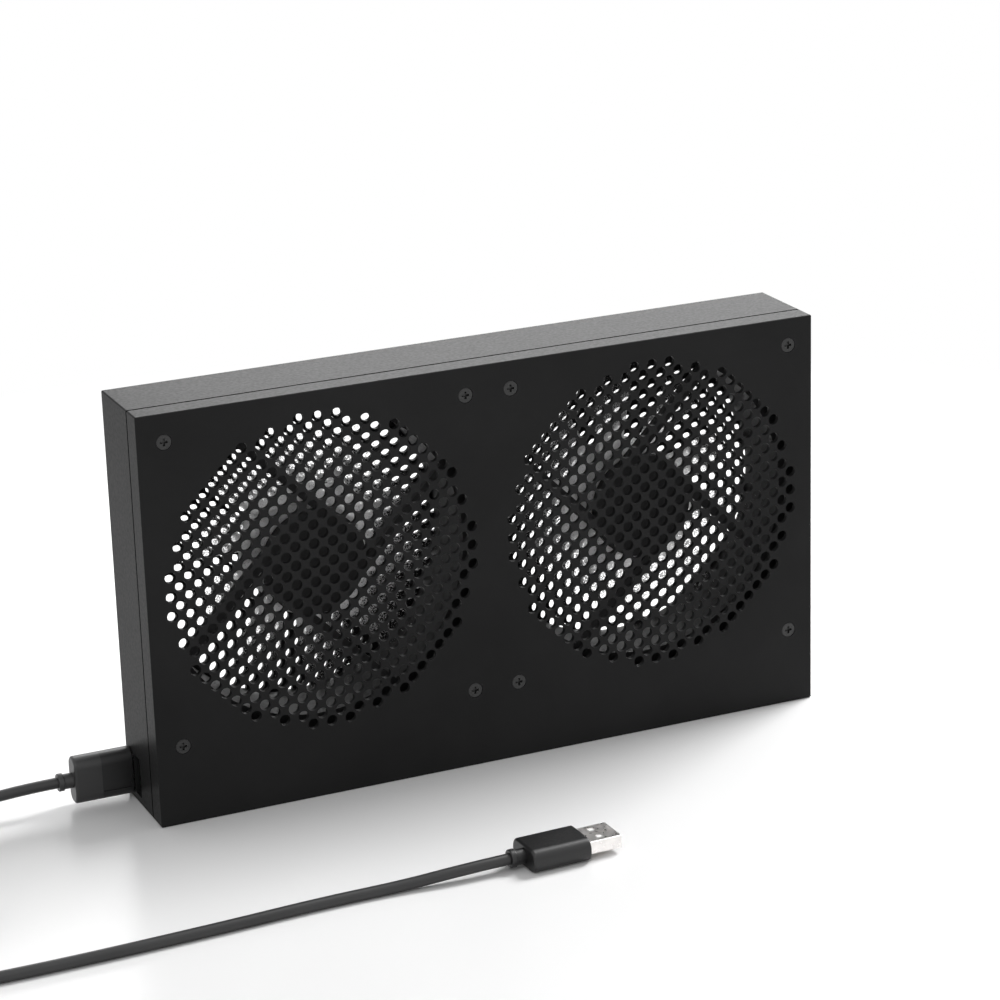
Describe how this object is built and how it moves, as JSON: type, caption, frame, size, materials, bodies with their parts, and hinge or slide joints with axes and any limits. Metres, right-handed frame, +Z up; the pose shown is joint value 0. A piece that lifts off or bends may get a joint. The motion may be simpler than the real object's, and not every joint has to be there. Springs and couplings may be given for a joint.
{
  "type": "usb cooling fan",
  "caption": "Low box housing with side-by-side fans behind round hole grilles, fed by a flat-plug lead with a spare socket beside it.",
  "frame": {"origin": "on the standing surface, under the middle of the housing (the lead left out)", "axes": "+X along the housing's width, the front grille faces -Y, +Z up"},
  "size_m": [0.3721, 0.1265, 0.142],
  "materials": {
    "housing_black": "fine matte powder coat",
    "screw_black": "black oxide",
    "frame_black": "moulded matte",
    "impeller_frosted": "frosted, slightly translucent",
    "steel": "brushed",
    "magnet": "bonded magnet",
    "pad": "smooth",
    "bronze": "sintered bronze",
    "board": "solder mask",
    "copper": "enamelled wire",
    "wire": "soft",
    "gold": "plated",
    "can": "sleeved",
    "fuse": "coated",
    "white_plastic": "moulded",
    "socket_shell": "black plated",
    "socket_black": "moulded",
    "grip_black": "fine moulded texture",
    "shell_nickel": "nickel plated",
    "cord_black": "matte jacket"
  },
  "bodies": {
    "housing": {"front_cover": "housing_black", "rear_case": "housing_black", "back_panel": "housing_black", "front_screws": "screw_black", "back_screws": "screw_black", "fan_frame_left": "frame_black", "bushing_left": "bronze", "thrust_pad_left": "pad", "motor_board_left": "board", "stator_core_left": "steel", "stator_windings_left": "copper", "fan_lead_left": "wire", "fan_frame_right": "frame_black", "bushing_right": "bronze", "thrust_pad_right": "pad", "motor_board_right": "board", "stator_core_right": "steel", "stator_windings_right": "copper", "fan_lead_right": "wire", "power_board": "board", "board_standoffs": "gold", "board_screws": "steel", "board_capacitor": "can", "board_fuse": "fuse", "fan_headers": "white_plastic", "lead_plugs": "white_plastic", "input_socket_shell": "socket_shell", "input_socket_tongue": "socket_black", "input_socket_contacts": "gold", "spare_socket_shell": "socket_shell", "spare_socket_tongue": "socket_black", "spare_socket_contacts": "gold"},
    "impeller_left": {"impeller_left": "impeller_frosted", "rotor_yoke_left": "steel", "rotor_magnet_left": "magnet", "rotor_shaft_left": "steel", "retaining_ring_left": "pad"},
    "impeller_right": {"impeller_right": "impeller_frosted", "rotor_yoke_right": "steel", "rotor_magnet_right": "magnet", "rotor_shaft_right": "steel", "retaining_ring_right": "pad"},
    "lead": {"input_plug_body": "grip_black", "input_plug_shell": "shell_nickel", "input_plug_insert": "white_plastic", "input_plug_contacts": "gold", "supply_plug_body": "grip_black", "supply_plug_shell": "shell_nickel", "supply_plug_insert": "white_plastic", "supply_plug_contacts": "gold", "input_cord": "cord_black", "cord_coil": "cord_black", "supply_cord": "cord_black"}
  },
  "joints": [
    {"name": "left_fan_spin", "type": "hinge", "parent": "housing", "child": "impeller_left", "pos_m": [-0.0607, 0, 0.0799], "axis": [0, 1, 0], "continuous": true},
    {"name": "right_fan_spin", "type": "hinge", "parent": "housing", "child": "impeller_right", "pos_m": [0.0607, 0, 0.0799], "axis": [0, 1, 0], "continuous": true},
    {"name": "input_plug_pull", "type": "slide", "parent": "housing", "child": "lead", "axis": [-1, 0, 0], "range_m": [0, 0.0125]}
  ]
}
